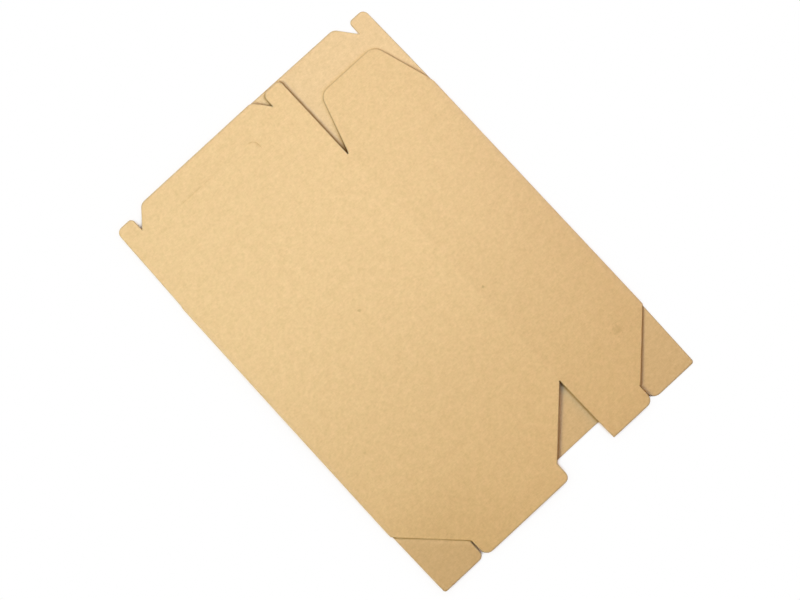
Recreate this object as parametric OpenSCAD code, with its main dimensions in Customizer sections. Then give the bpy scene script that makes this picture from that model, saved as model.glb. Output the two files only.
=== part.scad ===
// Kraft board carton, knocked down flat: one die-cut blank, glued into a tube at its back seam,
// folded over at both sides and pressed flat, so that it springs open only a little.
// It lies on its wide back panel, +Z up, with the lid flaps towards +Y.
// Plan outlines have x = 0 at the left fold and y = 0 at the bottom crease, seen from above.

/* [Board] */
// Thickness of the board
board_t = 0.45; // [0.3:0.05:1.2]
// Gap between the two layers inside the side folds
fold_gap = 0.45; // [0.2:0.05:1.5]
// How far the pressed tube springs open
spring = 2.2; // [0.4:0.1:6]

/* [Panels] */
// Width of the front and back panels, crease to crease
wide_w = 100; // [80:1:180]
// Width of the two side panels, crease to crease
narrow_w = 50; // [36:1:80]
// Height of all four panels, crease to crease
panel_h = 138.9; // [60:0.1:300]

/* [Lid flaps] */
// Length of a lid flap past its crease
lid_len = 45.7; // [38:0.1:70]
// How far a lid flap narrows towards its low ear
lid_taper = 0.7; // [0:0.1:3]
// Width of the high ear, beside the slit
ear_w = 10.3; // [6:0.1:14]
// Width of the low ear, beside the side fold
low_ear_w = 9.6; // [6:0.1:14]
// How far the low ear stands back from the lid's edge
low_ear_drop = 2.2; // [0:0.1:4]
// Depth of the notch beside the high ear
notch_depth = 7.8; // [5:0.1:10]
// Depth of the notch beside the low ear
low_notch_depth = 9; // [7:0.1:12]
// Slope of the shoulder between a notch and the lid's edge
shoulder_angle = 52; // [40:1:70]
// Radius of the ears' corners
ear_r = 2; // [0.5:0.1:2.8]
// Radius at the top of a shoulder
shoulder_r = 4; // [1:0.5:8]

/* [Thumb score] */
// Height of the scored line above the front lid's crease
score_up = 33.4; // [15:0.1:36]
// Width of the score from end to end
score_w = 46; // [20:1:56]
// Radius of the score's two bends
score_r = 3.5; // [1:0.1:6]
// Straight run of the score past each bend
score_leg = 1.8; // [0.5:0.1:6]
// Width of the scored groove
score_line = 0.25; // [0.15:0.05:0.5]
// Depth of the scored groove
score_depth = 0.15; // [0.05:0.01:0.25]

/* [Dust flaps] */
// Length of a dust flap past its crease
dust_len = 27.6; // [15:0.1:44]
// How far each side of a dust flap leans in
dust_taper = 8.6; // [2:0.1:11]
// Radius of a dust flap's corners
dust_r = 5.5; // [1:0.5:6.5]

/* [Snap-lock bottom] */
// How much shallower the lock's slants are than half a side panel
lock_relief = 0.4; // [0:0.1:2]
// Straight run of the tongue past its slants
tongue_reach = 9; // [5:0.1:16]
// Straight run of the right side flap past its slant
right_reach = 9; // [5:0.1:16]
// Straight run of the left side flap past its slant
left_reach = 8.3; // [5:0.1:16]
// Straight run of the heel's two legs past the tongue's slants
heel_reach = 8.6; // [5:0.1:16]
// How far a side flap steps in from the end of its slant
lock_step = 0.6; // [0.1:0.1:2]
// How far each leg of the heel reaches past the tongue's side, so that the lock grips
lock_bite = 0.65; // [0:0.05:1.5]
// How far the recess runs in past the tongue's slants
recess_lift = 0.6; // [0:0.1:3]
// Radius of the tongue's and the side flaps' round corners
tongue_r = 3; // [0.5:0.1:4.5]
// Radius of the inner corners of the heel's legs
leg_r = 2; // [0.5:0.1:2.4]
// Radius of the square corners
square_r = 0.6; // [0.2:0.1:1.5]
// How far a straight flap side leans in
side_taper = 0.5; // [0:0.1:2]

/* [Cuts and creases] */
// Width of the slits between neighbouring flaps
slit_gap = 0.5; // [0.4:0.1:2]
// How far the roots of the tongue and of the right dust flap stand off their slits
root_set = 0.3; // [0.1:0.1:1]
// How far a slit runs past the crease into the panel
slit_over = 0.7; // [0.2:0.1:2]
// Radius of the corners at a slit's end
slit_r = 0.15; // [0.05:0.05:0.19]
// Width of a pressed crease
crease_w = 0.8; // [0.4:0.1:1.5]
// Depth of a pressed crease, on the inside of the box
crease_depth = 0.12; // [0.04:0.02:0.2]
// Distance from a side fold to the end of a crease
crease_stop = 1.5; // [0.5:0.1:5]

/* [Glue flap] */
// Width of the glue flap inside the back seam
glue_w = 14; // [8:0.5:22]
// Distance from the creases to the glue flap's root
glue_inset = 1; // [0.5:0.1:4]
// How far the ends of the glue flap slope
glue_bevel = 5; // [1:0.5:12]
// Open width of the seam at the back
seam_gap = 0.5; // [0.3:0.1:2.5]
// How deep the glue flap is pressed into the panel it is glued to
glue_bite = 0.05; // [0.02:0.01:0.1]

/* [Hidden] */
$fn = 48;
// Straight steps in the arc of one rounded corner
arc_steps = 6;
// How far cutting tools stand clear of what they cut
clear = 1;

box_w = wide_w + narrow_w;
lock_depth = narrow_w / 2 - lock_relief;
tongue_len = lock_depth + tongue_reach;
right_len = lock_depth + right_reach;
left_len = lock_depth + left_reach;
heel_len = lock_depth + heel_reach;
recess_root = lock_depth - recess_lift;
tongue_w = wide_w - slit_gap - 2 * lock_depth;
recess_w = tongue_w - 2 * lock_bite;
lowest_y = -max(tongue_len, right_len, left_len, heel_len);
highest_y = panel_h + max(lid_len, dust_len);

fold_outer_r = board_t + fold_gap / 2;
fold_inner_r = fold_gap / 2;
stack_h = spring + 2 * fold_outer_r;
// Height from the underside of the lower layer to the underside of the upper one, at a fold
layer_gap = board_t + fold_gap;

// Height of the left side panel's underside, which slopes from the raised left fold to the seam
function left_z(x) = spring * (1 - x / narrow_w);

// Lines of [x, z] points that the underside of each sheet follows
front_line = [[0, spring + layer_gap], [wide_w, spring + layer_gap], [box_w, layer_gap]];
left_line = [[0, left_z(0)], [narrow_w - seam_gap, left_z(narrow_w - seam_gap)]];
back_line = [
    [narrow_w - glue_w, left_z(narrow_w - glue_w) + board_t - glue_bite],
    [narrow_w - seam_gap, left_z(narrow_w - seam_gap) + board_t - glue_bite],
    [narrow_w, 0],
    [box_w, 0]
];

function reversed(list) = [for (i = [len(list) - 1 : -1 : 0]) list[i]];
function lifted(line, h) = [for (p = line) [p[0], p[1] + h]];
function towards(a, b) = (b - a) / norm(b - a);
function point(corner) = [corner[0], corner[1]];

// Points of the arc of radius r that rounds corner c between its neighbours a and b
function arc(a, c, b, r) =
    let (
        to_a = towards(c, a),
        to_b = towards(c, b),
        half = acos(to_a * to_b) / 2,
        centre = c + towards([0, 0], to_a + to_b) * r / sin(half),
        start = c + to_a * r / tan(half) - centre,
        end = c + to_b * r / tan(half) - centre,
        sweep = 180 - 2 * half
    )
    [
        for (k = [0 : arc_steps])
            let (turn = sweep * k / arc_steps)
            centre + (start * sin(sweep - turn) + end * sin(turn)) / sin(sweep)
    ];

// Closed outline through corners [x, y, r], each rounded to r, or sharp where r is 0
function outline(corners) =
    let (n = len(corners))
    [
        for (i = [0 : n - 1])
            let (
                before = point(corners[(i + n - 1) % n]),
                here = point(corners[i]),
                after = point(corners[(i + 1) % n]),
                r = corners[i][2]
            )
            each (r == 0 ? [here] : arc(before, here, after, r))
    ];

// A lid flap's edge from its high ear to its low ear, with the low ear at u = 0 and the crease at v = 0
lid_edge = [
    [wide_w - slit_gap / 2, lid_len, ear_r],
    [wide_w - ear_w, lid_len, ear_r],
    [wide_w - ear_w, lid_len - notch_depth, 0],
    [wide_w - ear_w - notch_depth / tan(shoulder_angle), lid_len, shoulder_r],
    [low_ear_w + low_notch_depth / tan(shoulder_angle), lid_len, shoulder_r],
    [low_ear_w, lid_len - low_notch_depth, 0],
    [low_ear_w, lid_len - low_ear_drop, ear_r],
    [lid_taper, lid_len - low_ear_drop, ear_r],
    [0, 0, 0]
];

// A dust flap's edge from its right side to its left side, above the top crease
function dust_edge(left, right) = [
    [right, panel_h, 0],
    [right - dust_taper, panel_h + dust_len, dust_r],
    [left + dust_taper, panel_h + dust_len, dust_r],
    [left, panel_h, 0]
];

// A side flap's edge from its straight left side to its slanted right side, below the bottom crease
function side_edge(left, right, length) = [
    [left + side_taper, -length, square_r],
    [right - slit_gap / 2 - lock_depth - lock_step, -length, tongue_r],
    [right - slit_gap / 2 - lock_depth - lock_step, -lock_depth, 0],
    [right - slit_gap / 2 - lock_depth, -lock_depth, 0],
    [right - slit_gap / 2, 0, 0]
];

// The tongue's edge below the front panel, from the left fold to the slit
tongue_edge = [
    [0, 0, 0],
    [(wide_w - tongue_w) / 2, -lock_depth, 0],
    [(wide_w - tongue_w) / 2, -tongue_len, tongue_r],
    [(wide_w + tongue_w) / 2, -tongue_len, tongue_r],
    [(wide_w + tongue_w) / 2, -lock_depth, 0],
    [wide_w - slit_gap / 2 - root_set, 0, 0],
    [wide_w - slit_gap / 2, 0, 0]
];

// The heel's edge below the back panel, with the recess that takes the tongue
heel_mid = narrow_w + wide_w / 2;
heel_edge = [
    [narrow_w, 0, 0],
    [narrow_w + side_taper, -heel_len, square_r],
    [heel_mid - recess_w / 2, -heel_len, leg_r],
    [heel_mid - recess_w / 2, -recess_root, square_r],
    [heel_mid + recess_w / 2, -recess_root, square_r],
    [heel_mid + recess_w / 2, -heel_len, leg_r],
    [box_w - side_taper, -heel_len, square_r],
    [box_w, 0, 0]
];

// The end of the slit between the front panel's flap and the right side panel's flap, from left to right
function slit_end(y) = [[wide_w - slit_gap / 2, y, slit_r], [wide_w + slit_gap / 2, y, slit_r]];

front_corners = concat(
    tongue_edge,
    slit_end(slit_over),
    side_edge(wide_w + slit_gap / 2, box_w, right_len),
    [[box_w, 0, 0]],
    dust_edge(wide_w + slit_gap / 2 + root_set, box_w),
    [[wide_w + slit_gap / 2, panel_h, 0]],
    reversed(slit_end(panel_h - slit_over)),
    [for (c = lid_edge) [c[0], panel_h + c[1], c[2]]]
);

left_corners = concat(
    [[0, 0, 0]],
    side_edge(0, narrow_w - seam_gap, left_len),
    [[narrow_w - seam_gap, 0, 0]],
    dust_edge(0, narrow_w - seam_gap)
);

back_corners = concat(
    heel_edge,
    [for (c = reversed(lid_edge)) [box_w - c[0], panel_h + c[1], c[2]]],
    [
        [narrow_w + slit_gap / 2, panel_h, 0],
        [narrow_w, panel_h, 0],
        [narrow_w, panel_h - glue_inset, 0],
        [narrow_w - glue_w, panel_h - glue_inset - glue_bevel, 0],
        [narrow_w - glue_w, glue_inset + glue_bevel, 0],
        [narrow_w, glue_inset, 0]
    ]
);

// The space between heights low and high above a line, along the whole length of the box
module layer(line, low, high) {
    translate([0, highest_y + clear, 0])
        rotate([90, 0, 0])
            linear_extrude(highest_y - lowest_y + 2 * clear)
                polygon(concat(lifted(line, low), reversed(lifted(line, high))));
}

// The part of a layer that lies under a plan outline
module cut_layer(line, low, high) {
    intersection() {
        translate([0, 0, -clear])
            linear_extrude(stack_h + 2 * clear)
                children();
        layer(line, low, high);
    }
}

// Plan of the creases at the roots of the flaps between x = left and x = right
module root_creases(left, right) {
    for (y = [0, panel_h])
        translate([left + crease_stop, y - crease_w / 2])
            square([right - left - 2 * crease_stop, crease_w]);
}

// Plan of the scored line on the front lid: a bar with both ends bent back to the crease
module thumb_score() {
    low = panel_h + score_up - score_r - score_leg;
    high = panel_h + score_up;
    left = (wide_w - score_w) / 2;
    right = (wide_w + score_w) / 2;
    difference() {
        polygon(outline([[left, low, 0], [right, low, 0], [right, high, score_r], [left, high, score_r]]));
        polygon(outline([
            [left + score_line, low - clear, 0],
            [right - score_line, low - clear, 0],
            [right - score_line, high - score_line, score_r - score_line],
            [left + score_line, high - score_line, score_r - score_line]
        ]));
    }
}

// Front panel and right side panel with their flaps
module front_sheet() {
    difference() {
        cut_layer(front_line, 0, board_t)
            polygon(outline(front_corners));
        cut_layer(front_line, -clear, crease_depth) {
            root_creases(0, wide_w);
            root_creases(wide_w, box_w);
            translate([wide_w - crease_w / 2, crease_stop])
                square([crease_w, panel_h - 2 * crease_stop]);
        }
        cut_layer(front_line, board_t - score_depth, board_t + clear)
            thumb_score();
    }
}

// Left side panel with its flaps, behind the front panel
module left_sheet() {
    difference() {
        cut_layer(left_line, 0, board_t)
            polygon(outline(left_corners));
        cut_layer(left_line, board_t - crease_depth, board_t + clear)
            root_creases(0, narrow_w - glue_w);
    }
}

// Back panel with its flaps, and the glue flap that joins it to the left side panel
module back_sheet() {
    difference() {
        cut_layer(back_line, 0, board_t)
            polygon(outline(back_corners));
        cut_layer(back_line, board_t - crease_depth, board_t + clear)
            root_creases(narrow_w, box_w);
    }
}

// A side fold: half a tube of board, open towards +X, whose lowest point is at height z
module side_fold(z) {
    translate([0, panel_h, z + fold_outer_r])
        rotate([90, 0, 0])
            linear_extrude(panel_h)
                difference() {
                    circle(fold_outer_r);
                    circle(fold_inner_r);
                    translate([0, -fold_outer_r - clear])
                        square(2 * (fold_outer_r + clear));
                }
}

module flattened_box() {
    color("burlywood")
        translate([-box_w / 2, -(lowest_y + highest_y) / 2, 0]) {
            front_sheet();
            left_sheet();
            back_sheet();
            side_fold(spring);
            translate([box_w, 0, 0])
                mirror([1, 0, 0])
                    side_fold(0);
        }
}

flattened_box();
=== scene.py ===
"""A kraft carton knocked flat: its die-cut blank is drawn flat, then folded over at both side folds."""

import math

import bpy
import numpy as np
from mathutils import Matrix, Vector, geometry, noise


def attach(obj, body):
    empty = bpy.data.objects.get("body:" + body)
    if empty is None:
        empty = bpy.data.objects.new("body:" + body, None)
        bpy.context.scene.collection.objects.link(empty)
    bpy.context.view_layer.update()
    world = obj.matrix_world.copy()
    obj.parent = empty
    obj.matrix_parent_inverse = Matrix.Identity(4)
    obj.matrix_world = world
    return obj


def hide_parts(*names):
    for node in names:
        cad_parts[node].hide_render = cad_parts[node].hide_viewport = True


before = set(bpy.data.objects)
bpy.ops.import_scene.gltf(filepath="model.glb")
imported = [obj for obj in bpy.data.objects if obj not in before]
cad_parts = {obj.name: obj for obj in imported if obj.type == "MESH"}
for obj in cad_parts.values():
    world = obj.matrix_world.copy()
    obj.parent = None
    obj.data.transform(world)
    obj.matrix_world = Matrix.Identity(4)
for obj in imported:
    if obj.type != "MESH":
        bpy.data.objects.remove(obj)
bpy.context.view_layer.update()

# Metres in a mm
MM = 0.001

# Board and panels, in mm
BOARD = 0.45
FOLD_GAP = 0.45
SPRING = 2.2
WIDE = 100.0
NARROW = 50.0
TALL = 138.9

# Slits between neighbouring flaps, in mm
SLIT = 0.5
SLIT_OVER = 0.7
SLIT_R = 0.15
ROOT_SET = 0.3

# Lid flaps, in mm: an ear and a notch on each side, and a shoulder from each notch up to the end
LID = 45.7
LID_ROOT_OUT = 0.25
BACK_END_DROP = 0.2
FRONT_END_DROP = 0.44
EAR = 10.3
EAR_R = 2.0
EAR_TIP_R = 2.2
FRONT_EAR_SHORT = 0.8
NOTCH = 7.8
LOW_EAR = 9.6
LOW_EAR_DROP = 2.45
LOW_EAR_IN = 0.5
LOW_EAR_TIP_R = 3.0
LOW_NOTCH = 9.6
SHOULDER_RISE = math.tan(math.radians(52))
SHOULDER_R = 4.0

# The scored thumb line on the front lid, in mm
SCORE_LEFT = 27.0
SCORE_RIGHT = 73.6
SCORE_LOW = TALL + 27.6
SCORE_HIGH = TALL + 32.8
SCORE_BEND = 3.5
SCORE_WALL = 0.08

# Dust flaps, in mm
DUST = 27.6
DUST_TAPER = 8.6
DUST_R = 5.5

# Snap-lock bottom, in mm: its flaps share the lock's depth, and all but the recess reach past it
LOCK = NARROW / 2 - 0.4
LOCK_BITE = 0.65
TONGUE = LOCK + 9.0
TONGUE_SHIFT = 0.42
TONGUE_LEFT_R = 3.8
TONGUE_RIGHT_R = 3.0
RIGHT_FLAP = LOCK + 9.0
RIGHT_STEP = 0.6
RIGHT_TAPER = 0.5
RIGHT_FLAP_R = 3.4
RIGHT_TIP_R = 0.2
LEFT_FLAP = LOCK + 8.3
LEFT_STEP = 0.85
LEFT_TAPER = 0.7
LEFT_FLAP_R = 2.6
LEFT_TIP_R = 1.3
HEEL = LOCK + 8.8
HEEL_TAPER = 0.5
HEEL_TIP_R = 1.3
LEG_R = 4.6
RECESS = LOCK - 0.5
RECESS_R = 0.6

# Glue flap and back seam, in mm
GLUE = 14.0
GLUE_INSET = 1.0
GLUE_BEVEL = 5.0
SEAM = 0.5

# Blank positions along the board, counted from the front panel's left edge
FOLD_RUN = math.pi * (FOLD_GAP + BOARD) / 2
RIGHT_EDGE = WIDE + NARROW
BACK = RIGHT_EDGE + FOLD_RUN
GLUE_ROOT = BACK + WIDE
LEFT = -FOLD_RUN
SEAM_EDGE = LEFT - NARROW + SEAM

# The folded carton's middle in plan
MID_X = RIGHT_EDGE / 2
MID_Y = (TALL + LID - RIGHT_FLAP) / 2


def arc(before, corner, after, radius, steps=8):
    """Points that round one corner of an outline."""
    to_a = (before - corner).normalized()
    to_b = (after - corner).normalized()
    half = to_a.angle(to_b) / 2
    centre = corner + (to_a + to_b).normalized() * radius / math.sin(half)
    start = corner + to_a * radius / math.tan(half) - centre
    end = corner + to_b * radius / math.tan(half) - centre
    sweep = math.pi - 2 * half
    turns = [sweep * k / steps for k in range(steps + 1)]
    return [centre + (start * math.sin(sweep - t) + end * math.sin(t)) / math.sin(sweep) for t in turns]


def outline(corners):
    """Closed outline through corners (s, y) or (s, y, radius)."""
    points = []
    for i, corner in enumerate(corners):
        here = Vector(corner[:2])
        if len(corner) == 2:
            points.append(here)
            continue
        before = Vector(corners[i - 1][:2])
        after = Vector(corners[(i + 1) % len(corners)][:2])
        points += arc(before, here, after, corner[2])
    return points


def spaced(points, step, closed=True):
    """The same line with extra points, at most a step apart."""
    ends = points[1:] + points[:1] if closed else points[1:]
    full = []
    for a, b in zip(points, ends):
        count = max(1, math.ceil((b - a).length / step))
        full += [a.lerp(b, k / count) for k in range(count)]
    return full if closed else full + points[-1:]


def lid_edge(root, end_drop, ear_short=0.0):
    """A lid flap from its high ear to its low ear, notched beside both."""
    top = TALL + LID
    ear_side = root + WIDE - EAR
    low_side = root + LOW_EAR
    return [
        (root + WIDE - SLIT / 2, top - ear_short, EAR_TIP_R),
        (ear_side, top - ear_short, EAR_R + ear_short),
        (ear_side, top - NOTCH),
        (ear_side - NOTCH / SHOULDER_RISE, top, SHOULDER_R),
        (low_side + LOW_NOTCH / SHOULDER_RISE, top - end_drop, SHOULDER_R),
        (low_side, top - LOW_NOTCH),
        (low_side, top - LOW_EAR_DROP, EAR_R),
        (root + LOW_EAR_IN, top - LOW_EAR_DROP, LOW_EAR_TIP_R),
        (root - LID_ROOT_OUT, TALL),
    ]


def dust_edge(left, right):
    """A dust flap from its right root to its left one."""
    return [
        (right, TALL),
        (right - DUST_TAPER, TALL + DUST, DUST_R),
        (left + DUST_TAPER, TALL + DUST, DUST_R),
        (left, TALL),
    ]


def slit_end(y, rightwards):
    """The closed end of a slit beside the front panel."""
    ends = [(WIDE - SLIT / 2, y, SLIT_R), (WIDE + SLIT / 2, y, SLIT_R)]
    return ends if rightwards else ends[::-1]


def bottom_corners():
    """The snap-lock bottom from the seam edge to the glue flap: left flap, tongue, right flap and heel."""
    left_lock = SEAM_EDGE + SLIT / 2 + LOCK
    right_lock = RIGHT_EDGE - SLIT / 2 - LOCK
    tongue_left = SLIT / 2 + LOCK - TONGUE_SHIFT
    tongue_right = WIDE - SLIT / 2 - LOCK - TONGUE_SHIFT
    recess_left = BACK + SLIT / 2 + LOCK + LOCK_BITE
    recess_right = BACK + WIDE - SLIT / 2 - LOCK + LOCK_BITE
    left_flap = [
        (SEAM_EDGE, 0),
        (SEAM_EDGE + SLIT / 2, 0),
        (left_lock, -LOCK),
        (left_lock + LEFT_STEP, -LOCK),
        (left_lock + LEFT_STEP, -LEFT_FLAP, LEFT_FLAP_R),
        (LEFT - LEFT_TAPER, -LEFT_FLAP, LEFT_TIP_R),
        (LEFT, 0),
    ]
    tongue = [
        (0, 0),
        (tongue_left, TONGUE_SHIFT - LOCK),
        (tongue_left, -TONGUE, TONGUE_LEFT_R),
        (tongue_right, -TONGUE, TONGUE_RIGHT_R),
        (tongue_right, -LOCK - TONGUE_SHIFT),
        (WIDE - SLIT / 2 - ROOT_SET, 0),
        (WIDE - SLIT / 2, 0),
    ]
    right_flap = [
        (WIDE + SLIT / 2 + RIGHT_TAPER, -RIGHT_FLAP, RIGHT_TIP_R),
        (right_lock - RIGHT_STEP, -RIGHT_FLAP, RIGHT_FLAP_R),
        (right_lock - RIGHT_STEP, -LOCK),
        (right_lock, -LOCK),
        (RIGHT_EDGE - SLIT / 2, 0),
        (RIGHT_EDGE, 0),
    ]
    heel = [
        (BACK, 0),
        (BACK + HEEL_TAPER, -HEEL, HEEL_TIP_R),
        (recess_left, -HEEL, LEG_R),
        (recess_left, -RECESS, RECESS_R),
        (recess_right, -RECESS, RECESS_R),
        (recess_right, -HEEL, LEG_R),
        (GLUE_ROOT - HEEL_TAPER, -HEEL, HEEL_TIP_R),
        (GLUE_ROOT, 0),
    ]
    return left_flap + tongue + slit_end(SLIT_OVER, True) + right_flap + heel


def blank_corners():
    """The whole blank, outside face up, from the seam edge along the bottom flaps and back along the top."""
    glue_end = GLUE_INSET + GLUE_BEVEL
    glue_flap = [
        (GLUE_ROOT, GLUE_INSET),
        (GLUE_ROOT + GLUE, glue_end),
        (GLUE_ROOT + GLUE, TALL - glue_end),
        (GLUE_ROOT, TALL - GLUE_INSET),
        (GLUE_ROOT, TALL),
        (GLUE_ROOT - SLIT / 2, TALL),
    ]
    back_lid = lid_edge(BACK, BACK_END_DROP)
    right_dust = dust_edge(WIDE + SLIT / 2 + ROOT_SET, RIGHT_EDGE) + [(WIDE + SLIT / 2, TALL)]
    front_lid = lid_edge(0, FRONT_END_DROP, FRONT_EAR_SHORT)
    left_dust = dust_edge(SEAM_EDGE, LEFT)
    top = back_lid + right_dust + slit_end(TALL - SLIT_OVER, False) + front_lid + left_dust
    return bottom_corners() + glue_flap + top


def thumb_score(shrink, step):
    """The scored line on the front lid, its ends bent back towards the crease."""
    left, right = SCORE_LEFT + shrink, SCORE_RIGHT - shrink
    high = SCORE_HIGH - shrink
    left_end, right_end = Vector((left, SCORE_LOW)), Vector((right, SCORE_LOW))
    left_bend, right_bend = Vector((left, high)), Vector((right, high))
    turn = arc(left_end, left_bend, right_bend, SCORE_BEND - shrink)
    back = arc(left_bend, right_bend, right_end, SCORE_BEND - shrink)
    return spaced([left_end] + turn + back + [right_end], step, closed=False)


def between(low, high, value):
    """Whether values lie between two others."""
    return (value > low) & (value < high)


def smooth(low, high, value):
    """An even rise from 0 at a low value to 1 at a high one."""
    t = np.clip((value - low) / (high - low), 0, 1)
    return t * t * (3 - 2 * t)


def ripple(x, y, seed, run):
    """Slow unevenness of pressed board, from 0 to 1."""
    waves = [noise.noise(Vector((a / run, b / run, seed))) for a, b in zip(x, y)]
    return np.clip(0.5 + 0.5 * np.array(waves), 0, 1)


# The front layer's height at the side folds, and how far the folds reach out, in mm
FOLDED_Z = BOARD + FOLD_GAP + BOARD / 2
LEFT_FOLD_R = (FOLD_GAP + BOARD) / 2 - 0.01
RIGHT_FOLD_R = LEFT_FOLD_R - 0.2

# How the tube stands open, in shares of the spring, and where along the panels' height that changes
OPEN_AT_BOTTOM = 0.48
OPENS = (-0.05, 0.48)
CLOSED_AT_TOP = 0.8
CLOSES = (0.45, 1.05)

# How the front layer falls away from its ridged crease, in shares of the spring
PANEL_SAG = 0.2
RIDGE_POWER = 10
SIDE_SLOPE = 0.3

# The dip beside the crease and the slow waves of the board, in mm
CREASE_DIP = 0.14
DIP_STARTS = (0.3, 3.2)
DIP_ENDS = (4, 24)
FRONT_WAVE = 0.15
FRONT_WAVE_RUN = 55
BACK_WAVE = 0.08
BACK_WAVE_RUN = 60
BACK_WAVE_STARTS = (NARROW, NARROW + 10)

# How far the front layer's flaps hang, in mm, and the powers by which two of them ease down
LID_DROOP = 0.12
TONGUE_DROOP = 0.2
TONGUE_LEFT_DROOP = 0.4
TONGUE_LEFT_ENDS = (20, 60)
SIDE_DROOP = 0.45
SIDE_EASE = 0.4
DUST_EASE = 0.6

# What lies on what: the gaps in mm, and how fully the right dust flap's end comes to rest
DUST_GAP = 0.03
DUST_SETTLE = 0.96
GLUE_GAP = 0.02

# The left panel: its share of the spring, what its dust flap loses of it, and its side flap's curl in mm
LEFT_OPEN = 0.8
LEFT_DUST_CLOSED = 0.6
LEFT_CURL = 0.9
LEFT_CURL_REACH = 25
LEFT_LIFT = 0.14
LEFT_LIFT_RUN = 6


def spring_at(y):
    """How far the tube stands open: most below half-way, less at the tongue's end and least at the lid's."""
    along = y / TALL
    opening = (1 - OPEN_AT_BOTTOM) * smooth(*OPENS, along)
    closing = CLOSED_AT_TOP * smooth(*CLOSES, along)
    return SPRING * (OPEN_AT_BOTTOM + opening - closing)


def let_down(y):
    """How far along a lid, dust flap, tongue and side flap a point lies: 0 at the crease, 1 at the end."""
    above = np.clip(y - TALL, 0, None)
    below = np.clip(-y, 0, None)
    return above / LID, np.clip(above / DUST, 0, 1), below / TONGUE, below / RIGHT_FLAP


def front_mid(x, y):
    """Height of the middle of the front layer: ridged at its crease, sagging beside it, its flaps hung."""
    lid, dust, tongue, side = let_down(y)
    wide = x < WIDE
    from_crease = x - WIDE
    across = np.clip(from_crease / NARROW, 0, 1)
    sag = np.where(wide, PANEL_SAG * (1 - np.clip(x / WIDE, 0, 1) ** RIDGE_POWER), 0)
    bow = SIDE_SLOPE * across + (1 - SIDE_SLOPE) * across ** 3
    dip = smooth(*DIP_STARTS, from_crease) - smooth(*DIP_ENDS, from_crease)
    z = FOLDED_Z + spring_at(y) * (1 - sag - bow)
    z -= CREASE_DIP * dip + FRONT_WAVE * ripple(x, y, 3.0, FRONT_WAVE_RUN)
    tongue_droop = TONGUE_DROOP + TONGUE_LEFT_DROOP * (1 - smooth(*TONGUE_LEFT_ENDS, x))
    z -= np.where(wide, LID_DROOP * lid + tongue_droop * tongue, SIDE_DROOP * side ** SIDE_EASE)
    resting = BOARD + DUST_GAP + BOARD / 2
    return z + np.where(wide, 0, (resting - z) * DUST_SETTLE * dust ** DUST_EASE)


def left_mid(x, y):
    """Height of the middle of the left panel: sloping from its raised fold to the seam, its flap curled."""
    _, dust, _, side = let_down(y)
    opening = LEFT_OPEN * spring_at(y) * (1 - LEFT_DUST_CLOSED * dust) * (1 - x / NARROW)
    curl = LEFT_CURL * side * np.clip(1 - x / LEFT_CURL_REACH, 0, 1)
    return BOARD / 2 + opening + curl + LEFT_LIFT * smooth(0, LEFT_LIFT_RUN, -y)


def back_mid(x, y):
    """Height of the middle of the back layer, with the glue flap lifted onto the left panel."""
    glued = left_mid(x, y) + BOARD + GLUE_GAP
    wave = BACK_WAVE * ripple(x, y, 8.0, BACK_WAVE_RUN) * smooth(*BACK_WAVE_STARTS, x)
    return glued + (BOARD / 2 + wave - glued) * smooth(NARROW - SEAM, NARROW, x)


def plan_x(s):
    """Where points of the blank's panels lie across the folded carton."""
    x = np.where(s >= 0, s, LEFT - s)
    return np.where(s > BACK, RIGHT_EDGE - (s - BACK), x)


def folded(s, y, out):
    """Places in metres of blank points, each lying `out` mm outside the middle of the board."""
    x = plan_x(s)
    front = (s >= 0) & (s <= RIGHT_EDGE)
    z = np.where(front, front_mid(x, y) + out, 0)
    z = np.where(s <= LEFT, left_mid(x, y) - out, z)
    z = np.where(s >= BACK, back_mid(x, y) - out, z)
    left_fold = (0, -1, LEFT_FOLD_R, -s / FOLD_RUN, left_mid)
    right_fold = (RIGHT_EDGE, 1, RIGHT_FOLD_R, (s - RIGHT_EDGE) / FOLD_RUN, back_mid)
    for edge, way, radius, turn, low in (left_fold, right_fold):
        inside = between(0, 1, turn)
        at_edge = np.full_like(s, edge)
        top = front_mid(at_edge, y)
        under = low(at_edge, y)
        angle = np.pi * np.clip(turn, 0, 1)
        x = np.where(inside, edge + way * (radius + out) * np.sin(angle), x)
        z = np.where(inside, (top + under) / 2 + ((top - under) / 2 + out) * np.cos(angle), z)
    return np.column_stack([x - MID_X, y - MID_Y, z]) * MM


# How a cut edge is rounded: steps of (depth in from the edge, drop of the face), and their whole reach, in mm
ROUNDING = ((0.0, 0.15), (0.05, 0.06), (0.14, 0.0))
ROUNDING_REACH = 0.2

# How the thumb line is pressed in: depths in mm, where it sets in, fades and returns, and how uneven it is
SCORE_FAINT = 0.01
SCORE_DEEP = 0.08
SCORE_SETS_IN = (28, 31)
SCORE_FADES = (40, 56)
SCORE_RETURNS = (68, 71)
SCORE_LEFT_SHARE = 0.6
SCORE_LEAST = 0.25
SCORE_UNEVEN = 1.1
SCORE_UNEVEN_RUN = 1.7

# Points of the mesh, in mm: how far apart they lie on the outline, on the thumb line and in the field
OUTLINE_STEP = 1.5
SCORE_STEP = 1.2
FIELD_STEP = 2.4
FIELD_FROM = -40
FIELD_TO = 190

# Rows of points beside the cut edge, and lines of points along the side folds and the crease, in mm
EDGE_ROWS = (0.4, 1.1)
FOLD_MARGIN = 0.42
FOLD_LINES = 17
CREASE_LINES = (-2, -1, -0.4, 0, 0.4, 1, 1.6, 2.2, 2.8, 3.5, 4.5, 6)
LINE_FROM = 0.8
LINE_STEP = 2.0
LINE_CLEAR = 0.5

# How far from the cut edge a point has to lie to be kept, in mm: in each row, in a fold, and elsewhere
ROW_CLEAR = (0.36, 1.0)
FOLD_CLEAR = 0.25
FIELD_CLEAR = 0.9

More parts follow.
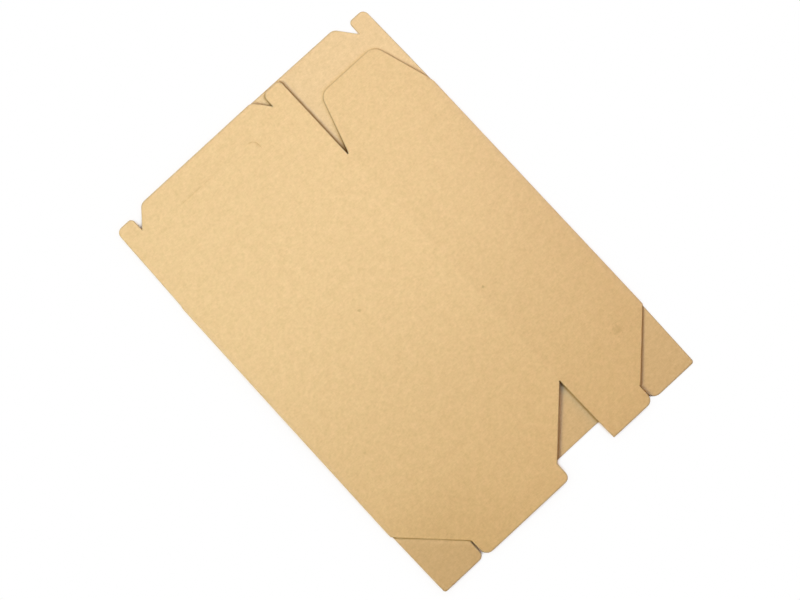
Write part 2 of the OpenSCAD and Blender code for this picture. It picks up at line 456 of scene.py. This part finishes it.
# How the triangles are made: only inside the outline, points closer than this welded, edges past this sharp
INSIDE_ONLY = 1
WELD = 1e-5
SHARP_ANGLE = math.radians(60)


def gap_to(points, loop):
    """Distance of each point from a closed outline, and whether it lies within it."""
    sides = np.roll(loop, -1, axis=0) - loop
    nearest = np.full(len(points), np.inf)
    crossings = np.zeros(len(points), int)
    for (ax, ay), (dx, dy) in zip(loop, sides):
        px, py = points[:, 0] - ax, points[:, 1] - ay
        t = np.clip((px * dx + py * dy) / (dx * dx + dy * dy), 0, 1)
        nearest = np.minimum(nearest, np.hypot(px - t * dx, py - t * dy))
        spans = (py < 0) != (py < dy)
        crossings += spans & (px < dx * py / (dy if dy else 1))
    return nearest, crossings % 2 == 1


def inset(loop, depth):
    """The same loop moved in by a depth, corner by corner, and no further than twice it at a sharp one."""
    ahead = np.roll(loop, -1, axis=0) - loop
    ahead /= np.linalg.norm(ahead, axis=1, keepdims=True)
    behind = np.roll(ahead, 1, axis=0)
    inward = np.column_stack([-ahead[:, 1] - behind[:, 1], ahead[:, 0] + behind[:, 0]])
    share = 1 + (ahead * behind).sum(axis=1, keepdims=True)
    return loop + inward * depth / np.maximum(share, 0.5)


def board_points(loop):
    """Points inside the blank: rows beside its edge, lines along folds and crease, and an even field."""
    rows = [inset(loop, depth) for depth in EDGE_ROWS]
    field = np.arange(FIELD_FROM, FIELD_TO, FIELD_STEP)
    left_lines = np.linspace(FOLD_MARGIN, LEFT - FOLD_MARGIN, FOLD_LINES)
    right_lines = np.linspace(RIGHT_EDGE - FOLD_MARGIN, BACK + FOLD_MARGIN, FOLD_LINES)
    lines = np.concatenate([left_lines, right_lines, WIDE + np.array(CREASE_LINES)])
    for k, s in enumerate(np.arange(SEAM_EDGE, GLUE_ROOT + GLUE, FIELD_STEP)):
        if abs(lines - s).min() > LINE_CLEAR:
            rows.append(np.column_stack([np.full(len(field), s), field + FIELD_STEP / 2 * (k % 2)]))
    along = np.arange(LINE_FROM, TALL, LINE_STEP)
    for s in lines:
        rows.append(np.column_stack([np.full(len(along), s), along]))
    points = np.concatenate(rows)
    gap, within = gap_to(points, loop)
    wanted = np.full(len(points), FIELD_CLEAR)
    for k, clear in enumerate(ROW_CLEAR):
        wanted[k * len(loop):(k + 1) * len(loop)] = clear
    in_fold = between(LEFT, 0, points[:, 0]) | between(RIGHT_EDGE, BACK, points[:, 0])
    wanted[in_fold] = FOLD_CLEAR
    return points[within & (gap > wanted)]


def score_depth(s, y):
    """How deep the thumb line is pressed in: faint on the left, lost in the middle, plain at the right."""
    left_part = SCORE_LEFT_SHARE * (smooth(*SCORE_SETS_IN, s) - smooth(*SCORE_FADES, s))
    right_part = smooth(*SCORE_RETURNS, s)
    uneven = SCORE_LEAST + SCORE_UNEVEN * ripple(s, y, 5.0, SCORE_UNEVEN_RUN)
    return SCORE_FAINT + SCORE_DEEP * (left_part + right_part) * uneven


def flat_board():
    """The blank in the flat: points, triangles, drops of the outer face, the rim, and gaps to the rim."""
    loop = np.array(spaced(outline(blank_corners()), OUTLINE_STEP))
    rims = [inset(loop, depth) for depth, _ in ROUNDING[1:]]
    scores = [np.array(thumb_score(k * SCORE_WALL, SCORE_STEP)) for k in range(3)]
    inner = board_points(loop)
    count = len(loop)
    edges = []
    at = count
    for _ in rims:
        edges += [(at + k, at + (k + 1) % count) for k in range(count)]
        at += count
    groove = at + len(scores[0])
    for line in scores:
        edges += [(at + k, at + k + 1) for k in range(len(line) - 1)]
        at += len(line)
    given = np.concatenate([loop] + rims + scores + [inner])
    points, _, faces, origin, _, _ = geometry.delaunay_2d_cdt(
        [Vector(p) for p in given], edges, [list(range(count))], INSIDE_ONLY, WELD)
    points = np.array(points)
    first = np.array([min(o) if o else len(given) for o in origin])
    in_groove = (first >= groove) & (first < groove + len(scores[1]))
    pressed = np.where(in_groove, score_depth(points[:, 0], points[:, 1]), 0.0)
    for k, (_, drop) in enumerate(ROUNDING):
        pressed[(first >= k * count) & (first < (k + 1) * count)] = drop
    order = {int(f): k for k, f in enumerate(first) if f < count}
    rim = [order[k] for k in range(count)]
    gap, _ = gap_to(points, loop)
    return points, np.array(faces), pressed, rim, gap


# Grey beside cut edges, worn board and painted shade of the edge lines, in mm: its reach, and where the
# flaps' ends begin, at which it reaches further
EDGE_REACH = 0.5
END_REACH = 0.9
BOTTOM_END = -LOCK - 5
LID_END = TALL + LID - 3
TONGUE_SIDE = (70, 76)

# Edges that lie close on the board below, in mm, and the share of that grey and painted shade that is missing
# there
SLANT = LOCK + 2
SLANT_FROM = 1
DUST_SIDE = RIGHT_EDGE - 12
LEFT_SLANT_LESS = 0.6
RIGHT_SLANT_LESS = 0.25
DUST_SIDE_LESS = 0.2

# Painted shade beside the side folds: its share of the folds' own, its reach, and what it runs past the
# panels, in mm
FOLD_SIDE_SHADE = 0.35
FOLD_SIDE_REACH = 0.5
FOLD_SHADE_PAST = 0.5

# Painted shade on the outer face, where panels turn from the light or it falls off: by how much, and the
# stretches in mm over which that comes or goes
NARROW_SHADE = 0.022
NARROW_SHADE_STARTS = (WIDE - 0.2, WIDE + 2.2)
RIGHT_SHADE = 0.02
RIGHT_SHADE_STARTS = (124, 147)
TONGUE_CORNER_SHADE = 0.08
TONGUE_CORNER_ENDS_X = (8, 64)
TONGUE_CORNER_ENDS_Y = (-14, 16)
BOTTOM_SHADE = 0.02
BOTTOM_SHADE_ENDS = (-34, -18)

# Darker places of the inner face, painted shade near the lid's slit, and a painted-light strip of the left
# side flap beside the tongue: by how much, and their reach in mm
HEEL_SHADE = 0.03
LEFT_FLAP_SHADE = 0.1
LEFT_FLAP_SHADE_STARTS = (0, 2.5)
LID_SLIT_SHADE = 0.07
LID_SLIT_SHADE_REACH = 12
BACK_LID_LIGHTER = 0.045

# Where the painted shade under an edge is deeper than it falls: by how much, and the reach in mm
BESIDE_SLIT_DEEPER = 2.0
BESIDE_SLIT_RUN = 35
BESIDE_SLIT_X = WIDE + 0.3
BESIDE_SLIT_WIDTH = 1.5
LID_SLIT_DEEPER = 2.5
LID_SLIT_REACH = 3
TONGUE_SLIT_DEEPER = 1.5
TONGUE_SLIT_REACH = 4

# Where that shade is fainter: by how much, and where the heel's right leg begins, in mm
DUST_SIDE_FAINTER = 0.15
LEFT_FLAP_FAINTER = 0.65
LEG_FAINTER = 0.2
LEG_SIDE = RIGHT_EDGE - 28


def edge_grey_and_shade(s, y, gap):
    """How grey the board is beside its cut edges, worn board and painted shade of the edge lines: wider at
    the flaps' ends, less where flaps lie close.
    """
    tongue_side = (y < -LOCK) & between(*TONGUE_SIDE, s)
    flap_end = (y < BOTTOM_END) | (y > LID_END) | tongue_side
    slant = between(-SLANT, -SLANT_FROM, y)
    left_slant = slant & between(0, SLANT, s)
    right_slant = slant & between(RIGHT_EDGE - SLANT, RIGHT_EDGE, s)
    dust_side = (y > TALL) & between(DUST_SIDE, RIGHT_EDGE, s)
    grey_and_shade = np.exp(-gap / np.where(flap_end, END_REACH, EDGE_REACH))
    grey_and_shade *= 1 - LEFT_SLANT_LESS * left_slant - RIGHT_SLANT_LESS * right_slant
    return grey_and_shade * (1 - DUST_SIDE_LESS * dust_side)


def painted_fold_shade(s, y):
    """How much painted shade darkens the board on the two side folds, where they turn from the light, and
    just beside them.
    """
    turn = np.where(s < 0, -s, s - RIGHT_EDGE) / FOLD_RUN
    left_gap, right_gap = np.abs(s - LEFT / 2), np.abs(s - (RIGHT_EDGE + BACK) / 2)
    beside = np.minimum(left_gap, right_gap) - FOLD_RUN / 2
    fold_shaded = np.sin(np.pi * np.clip(turn, 0, 1))
    fold_shaded += FOLD_SIDE_SHADE * np.exp(-np.clip(beside, 0, None) / FOLD_SIDE_REACH) * (beside > 0)
    return np.where(between(-FOLD_SHADE_PAST, TALL + FOLD_SHADE_PAST, y), fold_shaded, 0)


def outer_painted_shade(s, y):
    """How much painted shade darkens the outer face: the narrow panel, the tongue's left corner, the bottom
    ends.
    """
    narrow = NARROW_SHADE * smooth(*NARROW_SHADE_STARTS, s) + RIGHT_SHADE * smooth(*RIGHT_SHADE_STARTS, s)
    corner = (1 - smooth(*TONGUE_CORNER_ENDS_X, s)) * (1 - smooth(*TONGUE_CORNER_ENDS_Y, y))
    end = BOTTOM_SHADE * (1 - smooth(*BOTTOM_SHADE_ENDS, y))
    shade = np.where(s < RIGHT_EDGE, narrow, 0) + np.where(s >= 0, TONGUE_CORNER_SHADE * corner, 0)
    return shade + np.where((s >= 0) & (s <= RIGHT_EDGE), end, 0)


def inner_tone_and_painted_shade(s, y):
    """How much darker the inner face is: the heel, the left side flap but for a painted-light strip beside
    the tongue, and painted shade on the back lid near its slit.
    """
    x = plan_x(s)
    heel = (s > BACK) & (y < 0)
    left_flap = (s < LEFT) & (y < 0)
    back_lid = (s > BACK) & (y > TALL)
    from_tongue = np.clip(-x - y, 0, None) / math.sqrt(2)
    near_slit = np.exp(-np.hypot(x - WIDE, y - TALL) / LID_SLIT_SHADE_REACH)
    shade = HEEL_SHADE * heel + LEFT_FLAP_SHADE * left_flap * smooth(*LEFT_FLAP_SHADE_STARTS, from_tongue)
    return shade + np.where(back_lid, LID_SLIT_SHADE * near_slit - BACK_LID_LIGHTER, 0)


def painted_shade_depth(s, y):
    """How deep the painted shade under an edge gets: 1 as it falls, more at the slits, less under close
    flaps.
    """
    x = plan_x(s)
    behind = s > BACK
    left_flap = (s < LEFT) & (y < 0)
    leg = behind & (x > LEG_SIDE) & (y < 0)
    from_lid_slit = np.hypot(x - WIDE, y - TALL)
    from_tongue_slit = np.hypot(x - WIDE, y)
    beside_slit = np.exp(-from_lid_slit / BESIDE_SLIT_RUN - np.abs(x - BESIDE_SLIT_X) / BESIDE_SLIT_WIDTH)
    back_lid = BESIDE_SLIT_DEEPER * beside_slit - DUST_SIDE_FAINTER * (x > DUST_SIDE)
    slit_roots = LID_SLIT_DEEPER * np.exp(-from_lid_slit / LID_SLIT_REACH)
    slit_roots += TONGUE_SLIT_DEEPER * np.exp(-from_tongue_slit / TONGUE_SLIT_REACH)
    depth = 1 + np.where(behind & (y > TALL), back_lid, 0) + np.where(behind, slit_roots, 0)
    return depth - LEFT_FLAP_FAINTER * left_flap - LEG_FAINTER * leg


# Blank coordinates that the material reads, per mm
UV = 0.01


def fold_board():
    """The folded carton: both faces of the board, its rounded cut edges, and what its material reads."""
    points, faces, pressed, rim, gap = flat_board()
    count = len(points)
    s, y = points[:, 0], points[:, 1]
    outer = folded(s, y, BOARD / 2 - pressed)
    inner = folded(s, y, np.where(gap < ROUNDING_REACH, pressed, 0) - BOARD / 2)
    walls = [(a, a + count, b + count, b) for a, b in zip(rim, rim[1:] + rim[:1])]
    mesh = bpy.data.meshes.new("folded_carton")
    all_faces = [tuple(f) for f in faces] + [tuple(f[::-1] + count) for f in faces] + walls
    mesh.from_pydata(np.concatenate([outer, inner]).tolist(), [], all_faces)
    corner = np.zeros(len(mesh.loops), int)
    mesh.loops.foreach_get("vertex_index", corner)
    flat = mesh.uv_layers.new(name="blank")
    flat.data.foreach_set("uv", (points[corner % count] * UV).ravel())
    read_by_material = {
        # Grey along cut edges: worn board and painted shade
        "cut_edge_grey_and_shade": np.tile(edge_grey_and_shade(s, y, gap), 2),
        # Painted shade on the side folds
        "painted_fold_shade": np.tile(painted_fold_shade(s, y), 2),
        # Tone by place, with painted shade and a painted-light strip
        "tone_and_painted_shade": 1 - np.concatenate([outer_painted_shade(s, y), inner_tone_and_painted_shade(s, y)]),
        # How deep the painted shade under edges gets
        "depth": np.tile(painted_shade_depth(s, y), 2),
        "inside": np.repeat([0.0, 1.0], count),
    }
    for name, values in read_by_material.items():
        mesh.attributes.new(name, "FLOAT", "POINT").data.foreach_set("value", values)
    mesh.shade_smooth()
    mesh.set_sharp_from_angle(angle=SHARP_ANGLE)
    carton = bpy.data.objects.new("folded_carton", mesh)
    bpy.context.collection.objects.link(carton)
    return carton


class Value:
    """A number, colour or shader on its way through a material; a number takes plain arithmetic."""

    def __init__(self, nodes, socket):
        self.nodes = nodes
        self.socket = socket

    def math(self, operation, a, b):
        return self.nodes.make("ShaderNodeMath", {"operation": operation}, {0: a, 1: b})

    def __add__(self, other):
        return self.math("ADD", self, other)

    def __radd__(self, other):
        return self.math("ADD", other, self)

    def __sub__(self, other):
        return self.math("SUBTRACT", self, other)

    def __rsub__(self, other):
        return self.math("SUBTRACT", other, self)

    def __mul__(self, other):
        return self.math("MULTIPLY", self, other)

    def __rmul__(self, other):
        return self.math("MULTIPLY", other, self)

    def __pow__(self, other):
        return self.math("POWER", self, other)


class Nodes:
    """The node tree of one material or of the world."""

    def __init__(self, owner):
        owner.use_nodes = True
        self.tree = owner.node_tree
        self.tree.nodes.clear()

    def make(self, kind, settings, sockets, output=0):
        """One node with its settings and the values or links of its sockets; gives one of its outputs."""
        node = self.tree.nodes.new(kind)
        for name, value in settings.items():
            setattr(node, name, value)
        for name, value in sockets.items():
            if isinstance(value, Value):
                self.tree.links.new(value.socket, node.inputs[name])
            else:
                node.inputs[name].default_value = value
        return Value(self, node.outputs[output]) if node.outputs else None

    def attribute(self, name):
        return self.make("ShaderNodeAttribute", {"attribute_name": name}, {}, "Fac")

    def vector(self, operation, a, b, output=0):
        return self.make("ShaderNodeVectorMath", {"operation": operation}, {0: a, 1: b}, output)

    def noise(self, vector, scale, detail, rough=0.5):
        sockets = {"Vector": vector, "Scale": scale, "Detail": detail, "Roughness": rough}
        return self.make("ShaderNodeTexNoise", {"noise_dimensions": "3D"}, sockets)

    def band(self, value, low, high):
        settings = {"interpolation_type": "SMOOTHSTEP"}
        return self.make("ShaderNodeMapRange", settings, {0: value, 1: low, 2: high})

    def open_above(self, distance, samples, own_board_only=False):
        """How open it is above a point: 1 with nothing within the distance, less beside other surfaces."""
        settings = {"samples": samples, "only_local": own_board_only}
        return self.make("ShaderNodeAmbientOcclusion", settings, {"Distance": distance}, "AO")

    def mixed(self, share, a, b, blend="MIX"):
        settings = {"data_type": "RGBA", "blend_type": blend}
        return self.make("ShaderNodeMix", settings, {0: share, 6: a, 7: b}, 2)

    def tinted(self, colour, shade):
        tint = self.make("ShaderNodeCombineColor", {}, dict(enumerate(shade)))
        return self.mixed(1.0, colour, tint, "MULTIPLY")

    def seen(self):
        """1 for what the camera sees, by itself or in gloss or glass, and 0 for what lights the carton."""
        rays = ("Is Camera Ray", "Is Glossy Ray", "Is Transmission Ray")
        by_itself, in_gloss, in_glass = [self.make("ShaderNodeLightPath", {}, {}, ray) for ray in rays]
        return by_itself + in_gloss + in_glass


# Kraft texture: scales of its noises over the blank's coordinates, and how far each sways the tone
CLOUD_SCALE = 24.0
CLOUD_SWAY = 0.14
PULP_SCALE = 62.0
PULP_SWAY = 0.21
FIBRE_STRETCH = (55.0, 170.0, 40.0)
FIBRE_SWAY = 0.18
CROSS_FIBRE_STRETCH = (180.0, 75.0, 40.0)
CROSS_FIBRE_SWAY = 0.135
HUE_STRETCH = (1.0, 1.0, 3.0)
HUE_SCALE = 26.0
HUE_BAND = (0.35, 0.65)

# How far apart the two faces lie in those noises
OTHER_FACE = 7.0

# Kraft colours
KRAFT = (0.771, 0.533, 0.267, 1)
KRAFT_GREENER = (0.766, 0.5355, 0.2655, 1)
KRAFT_INSIDE = (0.742, 0.522, 0.270, 1)
CUT_GREY_AND_SHADE = (0.45, 0.335, 0.19, 1)
FOLD_SHADE_GREY = (0.44, 0.37, 0.27, 1)

# How much of the two greys shows, the folds' one painted shade and the cut edges' one partly so, and the band
# over which the cut edges' grey comes in
CUT_SHARE = 0.75
CUT_BAND = (0.35, 0.95)
FOLD_SHADE_SHARE = 0.55

# For red, green and blue: the powers of the board's tone, painted shade included, and of the painted shade
# where layers overlap
SHADE_POWERS = ((0.95, 0.85), (1.08, 1.3), (1.4, 2.15))

# How far the painted shade under an edge reaches, in mm
OVERLAP_REACH = 1.6

# Specks and stains on the outer face: place in plan, radius in mm, and how much they darken the board
MARKS = (
    (56.1, 83.0, 0.95, 0.2),
    (103.5, 53.8, 0.85, 0.19),
    (15.9, 35.3, 0.75, 0.16),
    (134.5, 0.0, 3.2, 0.09),
    (18.4, 173.9, 1.2, 0.05),
    (140.3, 124.2, 1.2, 0.05),
)

# In shares of a mark's radius: how ragged it is, and how much of it is fully dark
MARK_RAGGED = 2.0
MARK_CORE = 0.3

# Feel of the board: roughness and its sway, gloss, and the strength and height in mm of its grain
ROUGH = 0.86
ROUGH_SWAY = 0.1
GLOSS = 0.25
GRAIN = 0.25
GRAIN_HEIGHT = 0.04


def kraft_board():
    """Uncoated kraft: cloudy pulp, short fibres, a few specks and stains, greyer cut edges, and painted shade
    on the folds, along edges, under overlaps and over some panels.
    """
    material = bpy.data.materials.new("kraft_board")
    n = Nodes(material)
    flat = n.make("ShaderNodeUVMap", {"uv_map": "blank"}, {})
    side = n.attribute("inside")
    place = n.vector("ADD", flat, n.make("ShaderNodeCombineXYZ", {}, {2: side * OTHER_FACE}))
    clouds = n.noise(place, CLOUD_SCALE, detail=2.0)
    pulp = n.noise(place, PULP_SCALE, detail=2.0, rough=0.6)
    fibres = n.noise(n.vector("MULTIPLY", place, FIBRE_STRETCH), 1.0, detail=2.0, rough=0.6)
    cross_fibres = n.noise(n.vector("MULTIPLY", place, CROSS_FIBRE_STRETCH), 1.0, detail=2.0, rough=0.6)
    hue = n.noise(n.vector("MULTIPLY", place, HUE_STRETCH), HUE_SCALE, detail=0.0)
    level = 1.0 + (clouds - 0.5) * CLOUD_SWAY + (pulp - 0.5) * PULP_SWAY
    level = level + (fibres - 0.5) * FIBRE_SWAY + (cross_fibres - 0.5) * CROSS_FIBRE_SWAY
    marks = 0.0
    for x, y, radius, depth in MARKS:
        reach = radius * UV
        gap = n.vector("DISTANCE", flat, (x * UV, y * UV, 0), "Value")
        ragged_gap = gap + (pulp - 0.5) * (MARK_RAGGED * reach)
        marks = (1.0 - n.band(ragged_gap, MARK_CORE * reach, reach)) * depth + marks
    # Tone by place, painted shade and painted light among it
    level = (level - marks * (1.0 - side)) * n.attribute("tone_and_painted_shade")
    # Painted shade: the board darkens where its own layers close it in, browner as it deepens
    painted_overlap_shade = n.open_above(OVERLAP_REACH * MM, samples=12, own_board_only=True) ** n.attribute("depth")
    shade = [level ** own * painted_overlap_shade ** under for own, under in SHADE_POWERS]
    outside = n.mixed(n.band(hue, *HUE_BAND), KRAFT, KRAFT_GREENER)
    board = n.tinted(n.mixed(side, outside, KRAFT_INSIDE), shade)
    # Greyer board along cut edges: worn board and painted shade
    colour = n.mixed(n.band(n.attribute("cut_edge_grey_and_shade"), *CUT_BAND) * CUT_SHARE, board, CUT_GREY_AND_SHADE)
    # Painted shade on the side folds and beside them
    colour = n.mixed(n.attribute("painted_fold_shade") * FOLD_SHADE_SHARE, colour, FOLD_SHADE_GREY)
    bumps = {"Strength": GRAIN, "Distance": GRAIN_HEIGHT * MM, "Height": fibres + pulp}
    skin = n.make("ShaderNodeBsdfPrincipled", {}, {
        "Base Color": colour,
        "Roughness": ROUGH + (pulp - 0.5) * ROUGH_SWAY,
        "Normal": n.make("ShaderNodeBump", {}, bumps),
        "Specular IOR Level": GLOSS,
    })
    n.make("ShaderNodeOutputMaterial", {}, {"Surface": skin})
    return material


# The paper under the carton: colours, its brown painted shade that shows only in the carton's shadow, and in
# mm how far it reaches, its height and its shadow's reach
WHITE = (1, 1, 1, 1)
PAPER_SHADE_BROWN = (0.9, 0.63, 0.35, 1)
FLOOR_REACH = 1500
FLOOR_Z = -0.2
SHADOW_REACH = 10

# How open the paper is where its shadow's dark core and its faint rim lie, and how dark the rim is
SHADOW_CORE = (0.4, 0.62)
SHADOW_RIM = (0.8, 1.0)
RIM_SHADE = 0.05


def white_paper():
    """White paper: pure white to the camera, but for what is left of the carton's shadow, where its brown
    shows as painted shade.
    """
    material = bpy.data.materials.new("white_paper")
    n = Nodes(material)
    # The paper's brown shows only where the carton shades it: painted shade
    paper = n.make("ShaderNodeBsdfDiffuse", {}, {"Color": PAPER_SHADE_BROWN})
    glow = n.make("ShaderNodeEmission", {}, {"Color": WHITE, "Strength": 1.0})
    open_above = n.open_above(SHADOW_REACH * MM, samples=8)
    past_rim = n.band(open_above, *SHADOW_RIM)
    clear = n.band(open_above, *SHADOW_CORE) * (1 - RIM_SHADE + RIM_SHADE * past_rim)
    bright = n.make("ShaderNodeMixShader", {}, {0: clear, 1: paper, 2: glow})
    shown = n.make("ShaderNodeMixShader", {}, {0: n.seen(), 1: paper, 2: bright})
    n.make("ShaderNodeOutputMaterial", {}, {"Surface": shown})
    return material


def lay_floor():
    """A square sheet of white paper under the carton."""
    corners = np.array([(-1, -1, 0), (1, -1, 0), (1, 1, 0), (-1, 1, 0)]) * FLOOR_REACH + (0, 0, FLOOR_Z)
    mesh = bpy.data.meshes.new("floor")
    mesh.from_pydata((corners * MM).tolist(), [], [(0, 1, 2, 3)])
    mesh.materials.append(white_paper())
    floor = bpy.data.objects.new("floor", mesh)
    bpy.context.collection.objects.link(floor)


def sky(colour, strength):
    """Faint light from all around, which the camera sees as white."""
    world = bpy.data.worlds.new("room")
    bpy.context.scene.world = world
    n = Nodes(world)
    seen = n.seen()
    around = {"Color": n.mixed(seen, (*colour, 1), WHITE), "Strength": strength + seen * (1.0 - strength)}
    n.make("ShaderNodeOutputWorld", {}, {"Surface": n.make("ShaderNodeBackground", {}, around)})


def lamp(name, azimuth, elevation, distance, size, power, colour):
    """A square soft lamp that looks at the carton's middle; angles in degrees, sizes in metres."""
    a, e = math.radians(azimuth), math.radians(elevation)
    towards = Vector((math.cos(e) * math.cos(a), math.cos(e) * math.sin(a), math.sin(e)))
    light = bpy.data.lights.new(name, "AREA")
    light.size = size
    light.energy = power
    light.color = colour
    thing = bpy.data.objects.new(name, light)
    thing.location = towards * distance
    thing.rotation_euler = towards.to_track_quat("Z", "Y").to_euler()
    thing.visible_camera = False
    bpy.context.collection.objects.link(thing)


# The camera: focal length and sensor in mm, nearest sight and place in metres, turn in degrees
LENS = 67.5
SENSOR = 36
NEAREST = 0.01
EYE = (-0.03087, -0.04257, 0.66244)
EYE_TURN = (4.3178, 0.6122, -42.6199)


def camera():
    """The camera, looking down on the carton, which lies askew below it."""
    lens = bpy.data.cameras.new("camera")
    lens.lens = LENS
    lens.sensor_width = SENSOR
    lens.clip_start = NEAREST
    eye = bpy.data.objects.new("camera", lens)
    eye.location = EYE
    eye.rotation_euler = [math.radians(a) for a in EYE_TURN]
    bpy.context.collection.objects.link(eye)
    bpy.context.scene.camera = eye


carton = fold_board()
carton.data.materials.append(kraft_board())
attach(carton, "root")
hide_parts("flattened_box")

lay_floor()
sky(colour=(1.0, 0.6, 0.3), strength=0.05)
lamp("left_lamp", 165, 33, distance=2.5, size=0.9, power=41.9, colour=(1.0, 0.846, 0.40))
lamp("right_lamp", 10, 30, distance=2.0, size=1.2, power=16.2, colour=(1.0, 0.49, 0.04))
lamp("right_window", 35, 56, distance=0.32, size=0.16, power=0.597, colour=(0.555, 0.71, 1.0))
lamp("left_window", 145, 56, distance=0.32, size=0.16, power=0.544, colour=(0.46, 0.70, 1.0))
camera()
bpy.context.scene.view_settings.view_transform = "Standard"
